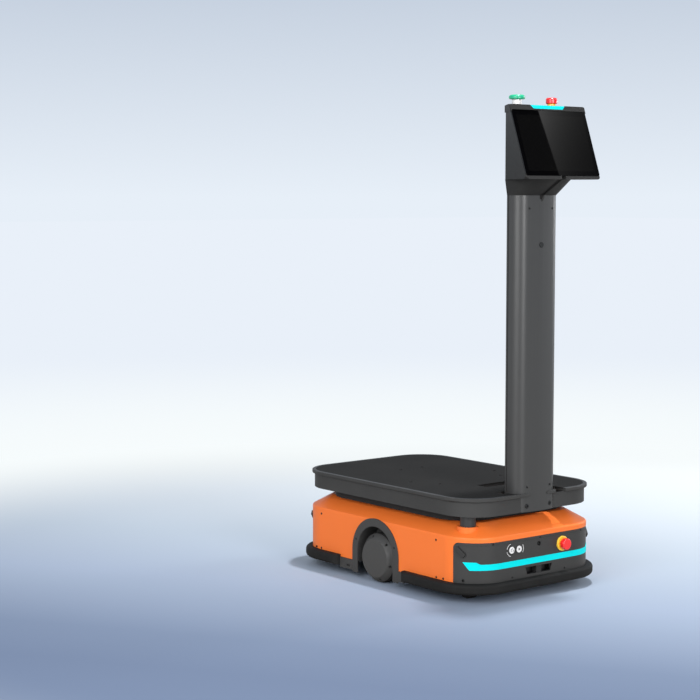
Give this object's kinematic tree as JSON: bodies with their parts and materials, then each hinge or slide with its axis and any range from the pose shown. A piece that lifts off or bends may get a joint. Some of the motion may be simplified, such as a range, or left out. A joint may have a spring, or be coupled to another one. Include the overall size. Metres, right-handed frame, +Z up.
{
  "type": "autonomous mobile robot with load deck and display column",
  "caption": "Low wheeled mobile robot base with a flat bolt-on load deck, sprung drive wheels, swivel castors, bumpers, and a column carrying a tilted display and push buttons.",
  "frame": {"origin": "on the floor, below the middle of the bounding box", "axes": "+Z up; +X across the robot to its right-hand side seen from the front; the display and the front panel look towards -Y"},
  "size_m": [0.5, 0.7936, 1.25],
  "materials": {
    "body_paint": "satin orange powder coat",
    "black_paint": "fine-textured black powder coat",
    "black_plastic": "matt black moulding",
    "grey_plastic": "matt dark grey moulding",
    "bumper_rubber": "matt black rubber",
    "steel": "zinc-plated",
    "screw_black": "black oxide",
    "anodised": "dark anodised extrusion",
    "wheel_metal": "machined",
    "tyre_rubber": "black polyurethane",
    "light_cyan": "lit cyan diffuser",
    "display_glass": "black cover glass",
    "red_button": "red",
    "yellow_ring": "yellow",
    "green_button": "green",
    "white_plastic": "white",
    "copper": "bare contact metal",
    "cell_case": "battery case"
  },
  "bodies": {
    "base": {"chassis_frame": "black_paint", "body_cover": "body_paint", "front_panel": "black_plastic", "rear_panel": "black_plastic", "front_light_strip": "light_cyan", "rear_light_strip": "light_cyan", "depth_camera": "grey_plastic", "corner_sensors": "black_plastic", "front_camera": "screw_black", "front_estop_ring": "yellow_ring", "button_bezels": "black_plastic", "front_bumper": "bumper_rubber", "rear_bumper": "bumper_rubber", "bumper_end_blocks": "grey_plastic", "left_wheel_arch": "grey_plastic", "right_wheel_arch": "grey_plastic", "deck_posts": "steel", "post_boots": "bumper_rubber", "sub_frame": "black_paint", "deck_tray": "black_paint", "deck_plate": "black_paint", "column_profile": "anodised", "column_foot": "wheel_metal", "column_plug": "screw_black", "head_housing": "grey_plastic", "head_cap": "grey_plastic", "screen_glass": "display_glass", "display_module": "screw_black", "head_light_strip": "light_cyan", "head_estop_ring": "yellow_ring", "head_button_collar": "white_plastic", "body_screws": "screw_black", "foot_screws": "screw_black", "battery_pack": "cell_case", "control_box": "wheel_metal", "charge_contacts": "copper", "caster_plates": "steel", "torsion_mounts": "steel"},
    "left_arm": {"left_swing_arm": "steel"},
    "left_wheel": {"left_drive_tyre": "tyre_rubber", "left_drive_hub": "wheel_metal", "left_hub_cap": "grey_plastic"},
    "right_arm": {"right_swing_arm": "steel"},
    "right_wheel": {"right_drive_tyre": "tyre_rubber", "right_drive_hub": "wheel_metal", "right_hub_cap": "grey_plastic"},
    "front_left_fork": {"front_left_castor_fork": "steel"},
    "front_left_castor": {"front_left_castor_wheel": "tyre_rubber"},
    "front_right_fork": {"front_right_castor_fork": "steel"},
    "front_right_castor": {"front_right_castor_wheel": "tyre_rubber"},
    "rear_left_fork": {"rear_left_castor_fork": "steel"},
    "rear_left_castor": {"rear_left_castor_wheel": "tyre_rubber"},
    "rear_right_fork": {"rear_right_castor_fork": "steel"},
    "rear_right_castor": {"rear_right_castor_wheel": "tyre_rubber"},
    "front_estop": {"front_estop_button": "red_button"},
    "start_key": {"start_button": "white_plastic"},
    "reset_key": {"reset_button": "white_plastic"},
    "head_estop": {"head_estop_button": "red_button"},
    "head_start": {"head_start_button": "green_button"}
  },
  "joints": [
    {"name": "left_suspension", "type": "hinge", "parent": "base", "child": "left_arm", "pos_m": [-0.166, 0.15925, 0.072], "axis": [-1, 0, 0], "range_deg": [-2.4, 3.8], "stiffness_Nm_per_rad": 432, "springref_deg": -2.41},
    {"name": "left_wheel_spin", "type": "hinge", "parent": "left_arm", "child": "left_wheel", "pos_m": [-0.2, 0.04725, 0.065], "axis": [1, 0, 0], "continuous": true},
    {"name": "right_suspension", "type": "hinge", "parent": "base", "child": "right_arm", "pos_m": [0.166, 0.15925, 0.072], "axis": [-1, 0, 0], "range_deg": [-2.4, 3.8], "stiffness_Nm_per_rad": 432, "springref_deg": -2.41},
    {"name": "right_wheel_spin", "type": "hinge", "parent": "right_arm", "child": "right_wheel", "pos_m": [0.2, 0.04725, 0.065], "axis": [1, 0, 0], "continuous": true},
    {"name": "front_left_swivel", "type": "hinge", "parent": "base", "child": "front_left_fork", "pos_m": [-0.156, -0.20775, 0.063], "axis": [0, 0, 1], "continuous": true},
    {"name": "front_left_castor_spin", "type": "hinge", "parent": "front_left_fork", "child": "front_left_castor", "pos_m": [-0.156, -0.23175, 0.0315], "axis": [1, 0, 0], "continuous": true},
    {"name": "front_right_swivel", "type": "hinge", "parent": "base", "child": "front_right_fork", "pos_m": [0.156, -0.20775, 0.063], "axis": [0, 0, 1], "continuous": true},
    {"name": "front_right_castor_spin", "type": "hinge", "parent": "front_right_fork", "child": "front_right_castor", "pos_m": [0.156, -0.23175, 0.0315], "axis": [1, 0, 0], "continuous": true},
    {"name": "rear_left_swivel", "type": "hinge", "parent": "base", "child": "rear_left_fork", "pos_m": [-0.156, 0.26825, 0.063], "axis": [0, 0, 1], "continuous": true},
    {"name": "rear_left_castor_spin", "type": "hinge", "parent": "rear_left_fork", "child": "rear_left_castor", "pos_m": [-0.156, 0.24425, 0.0315], "axis": [1, 0, 0], "continuous": true},
    {"name": "rear_right_swivel", "type": "hinge", "parent": "base", "child": "rear_right_fork", "pos_m": [0.156, 0.26825, 0.063], "axis": [0, 0, 1], "continuous": true},
    {"name": "rear_right_castor_spin", "type": "hinge", "parent": "rear_right_fork", "child": "rear_right_castor", "pos_m": [0.156, 0.24425, 0.0315], "axis": [1, 0, 0], "continuous": true},
    {"name": "front_estop_press", "type": "slide", "parent": "base", "child": "front_estop", "axis": [0, 1, 0], "range_m": [0, 0.0035], "stiffness_N_per_m": 1500},
    {"name": "start_press", "type": "slide", "parent": "base", "child": "start_key", "axis": [0, 1, 0], "range_m": [0, 0.0015], "stiffness_N_per_m": 1200},
    {"name": "reset_press", "type": "slide", "parent": "base", "child": "reset_key", "axis": [0, 1, 0], "range_m": [0, 0.0015], "stiffness_N_per_m": 1200},
    {"name": "head_estop_press", "type": "slide", "parent": "base", "child": "head_estop", "axis": [0, 0, -1], "range_m": [0, 0.0035], "stiffness_N_per_m": 1500},
    {"name": "head_start_press", "type": "slide", "parent": "base", "child": "head_start", "axis": [0, 0, -1], "range_m": [0, 0.004], "stiffness_N_per_m": 1200}
  ]
}
